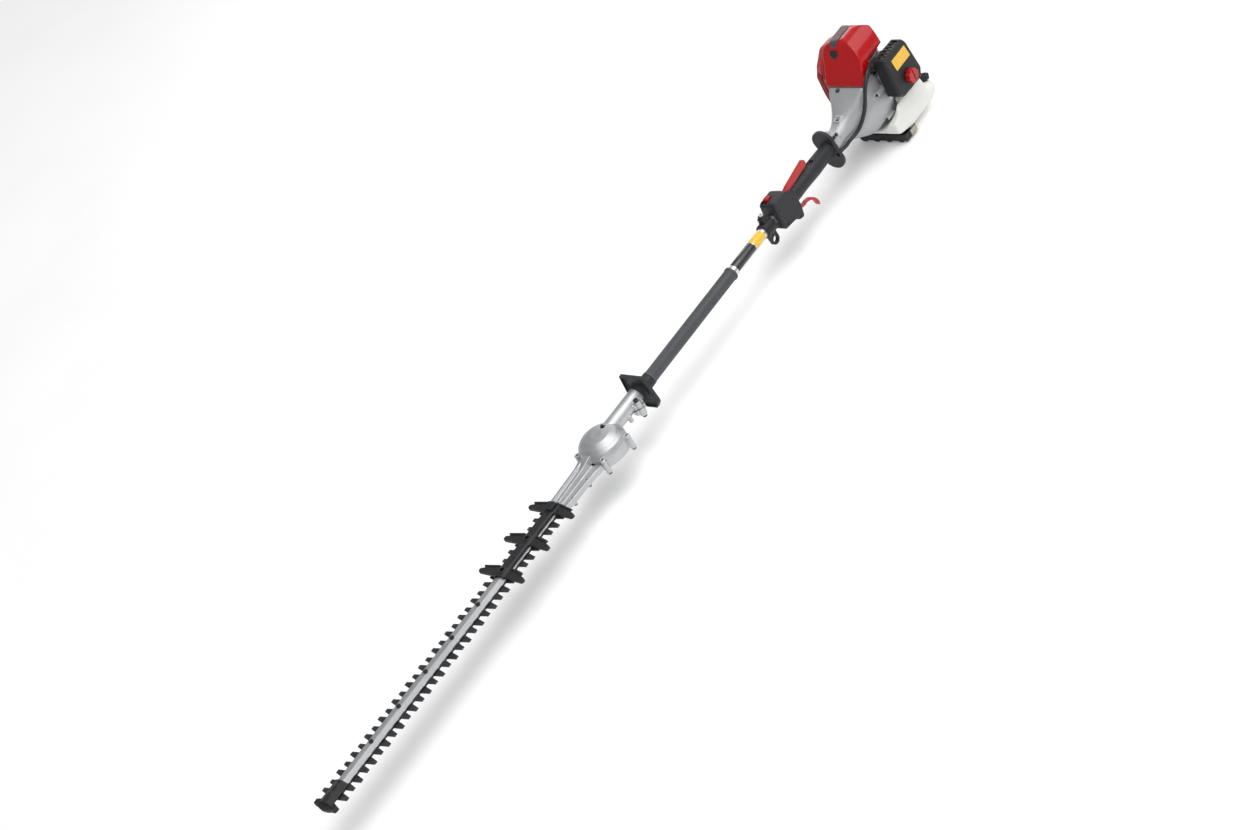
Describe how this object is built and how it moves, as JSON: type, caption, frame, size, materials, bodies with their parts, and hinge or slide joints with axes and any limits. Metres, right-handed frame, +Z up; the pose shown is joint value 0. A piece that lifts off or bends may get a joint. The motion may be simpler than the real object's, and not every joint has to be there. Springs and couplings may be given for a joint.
{
  "type": "pole hedge trimmer",
  "caption": "Petrol pole hedge trimmer: small engine, straight tube with grip and sleeve, cast gearcase and a double-sided reciprocating cutter bar.",
  "frame": {"origin": "on the ground, under the pole axis, at the foot of the engine stand", "axes": "+X along the pole towards the blade tip, +Y to the operator's left, +Z up"},
  "size_m": [2.02, 0.1882, 0.259],
  "materials": {
    "blade_steel": "oil-blackened ground steel",
    "bar_aluminium": "extruded, satin",
    "black_steel": "black oxide",
    "guard_plastic": "moulded, fine texture",
    "cast_aluminium": "die cast, satin",
    "bearing_steel": "ground",
    "gear_steel": "machined",
    "bush_plastic": "moulded nylon",
    "tube_aluminium": "drawn, satin",
    "yellow_film": "printed film, no text",
    "black_film": "printed film, no text",
    "sleeve_rubber": "satin grey",
    "handle_plastic": "soft charcoal",
    "bracket_plastic": "moulded",
    "zinc_screw": "zinc plated",
    "red_plastic": "moulded",
    "conduit_plastic": "extruded sheath",
    "housing_aluminium": "silver paint on die casting",
    "shoe_iron": "sintered",
    "cylinder_aluminium": "sand-textured casting",
    "piston_aluminium": "machined",
    "black_plastic": "moulded, fine texture",
    "red_gloss": "gloss moulding",
    "inset_plastic": "satin grey",
    "black_gloss": "blank gloss badge",
    "muffler_steel": "pressed, heat tinted",
    "red_satin": "satin moulding",
    "plug_porcelain": "glazed",
    "cap_rubber": "moulded",
    "carb_zinc": "die cast",
    "filter_foam": "open-cell foam",
    "tank_plastic": "translucent blow moulding",
    "stand_plastic": "moulded",
    "pad_felt": "pressed felt"
  },
  "bodies": {
    "body": {"blade_bar": "bar_aluminium", "bar_bolts": "black_steel", "tip_guard": "guard_plastic", "wing_guard": "guard_plastic", "gearcase_upper": "cast_aluminium", "gearcase_lower": "cast_aluminium", "gearcase_bolts": "black_steel", "gearcase_bearings": "bearing_steel", "grease_fitting": "black_steel", "shaft_bushes": "bush_plastic", "main_tube": "tube_aluminium", "label_yellow": "yellow_film", "label_black": "black_film", "front_sleeve": "sleeve_rubber", "hand_guard": "handle_plastic", "harness_bracket": "bracket_plastic", "bracket_screw": "zinc_screw", "handle_left": "handle_plastic", "handle_right": "handle_plastic", "handle_screws": "black_steel", "handle_pins": "zinc_screw", "throttle_conduit": "conduit_plastic", "clutch_housing": "housing_aluminium", "housing_screws": "black_steel", "crankcase": "cast_aluminium", "cylinder": "cylinder_aluminium", "ignition_coil": "black_plastic", "engine_cover": "red_gloss", "cover_inset": "inset_plastic", "cover_badge": "black_gloss", "muffler": "muffler_steel", "muffler_guard": "red_satin", "spark_plug": "plug_porcelain", "plug_cap": "cap_rubber", "carburettor": "carb_zinc", "air_cleaner_base": "black_plastic", "air_cleaner_cover": "black_plastic", "cleaner_label": "yellow_film", "air_filter": "filter_foam", "fuel_tank": "tank_plastic", "engine_stand": "stand_plastic", "stand_pad": "pad_felt", "starter_housing": "black_plastic"},
    "upper_blade": {"upper_blade": "blade_steel"},
    "lower_blade": {"lower_blade": "blade_steel"},
    "gear": {"eccentric_gear": "gear_steel"},
    "shaft": {"drive_shaft": "gear_steel", "pinion": "gear_steel", "clutch_drum": "gear_steel"},
    "crank": {"crankshaft": "gear_steel", "flywheel_fan": "cast_aluminium", "clutch_shoes": "shoe_iron"},
    "piston": {"piston": "piston_aluminium"},
    "trigger": {"throttle_trigger": "red_plastic"},
    "lockout": {"lockout_lever": "red_plastic"},
    "switch": {"stop_switch": "red_plastic"},
    "knob": {"cleaner_knob": "red_plastic"},
    "cap": {"fuel_cap": "black_plastic"},
    "pulley": {"starter_pulley": "bush_plastic"},
    "pull": {"starter_handle": "black_plastic"}
  },
  "joints": [
    {"name": "gear_turn", "type": "hinge", "parent": "body", "child": "gear", "pos_m": [1.024, 0, 0.096], "axis": [0, 0, 1], "range_deg": [-90, 90]},
    {"name": "upper_blade_slide", "type": "slide", "parent": "body", "child": "upper_blade", "axis": [1, 0, 0], "range_m": [-0.01, 0.01]},
    {"name": "lower_blade_slide", "type": "slide", "parent": "body", "child": "lower_blade", "axis": [1, 0, 0], "range_m": [-0.01, 0.01]},
    {"name": "shaft_turn", "type": "hinge", "parent": "body", "child": "shaft", "pos_m": [0.5, 0, 0.108], "axis": [1, 0, 0], "range_deg": [-360, 360]},
    {"name": "crank_turn", "type": "hinge", "parent": "body", "child": "crank", "pos_m": [0, 0, 0.108], "axis": [1, 0, 0], "continuous": true},
    {"name": "piston_slide", "type": "slide", "parent": "body", "child": "piston", "axis": [0, 0, 1], "range_m": [-0.028, 0]},
    {"name": "trigger_pull", "type": "hinge", "parent": "body", "child": "trigger", "pos_m": [0.34, 0, 0.087], "axis": [0, 1, 0], "range_deg": [0, 16], "stiffness_Nm_per_rad": 0.4},
    {"name": "lockout_press", "type": "hinge", "parent": "body", "child": "lockout", "pos_m": [0.336, 0, 0.1285], "axis": [0, -1, 0], "range_deg": [0, 6], "stiffness_Nm_per_rad": 0.4},
    {"name": "switch_slide", "type": "slide", "parent": "body", "child": "switch", "axis": [1, 0, 0], "range_m": [0, 0.006]},
    {"name": "knob_turn", "type": "hinge", "parent": "body", "child": "knob", "pos_m": [-0.031, 0.095, 0.131], "axis": [0, 1, 0], "range_deg": [0, 360]},
    {"name": "cap_turn", "type": "hinge", "parent": "body", "child": "cap", "pos_m": [-0.098, 0.046, 0.046], "axis": [-0.3737, -0.0698, 0.9249], "range_deg": [0, 180]},
    {"name": "starter_pull", "type": "slide", "parent": "body", "child": "pull", "axis": [0, -1, 0], "range_m": [0, 0.6]},
    {"name": "pulley_turn", "type": "hinge", "parent": "body", "child": "pulley", "pos_m": [-0.068, 0, 0.108], "axis": [1, 0, 0], "range_deg": [-1300, 10]}
  ],
  "couplings": [
    {"joint": "upper_blade_slide", "follows": "gear_turn", "m_per_rad": -0.0063662},
    {"joint": "lower_blade_slide", "follows": "gear_turn", "m_per_rad": 0.0063662},
    {"joint": "shaft_turn", "follows": "gear_turn", "ratio": -4},
    {"joint": "pulley_turn", "follows": "starter_pull", "rad_per_m": -35.714}
  ]
}
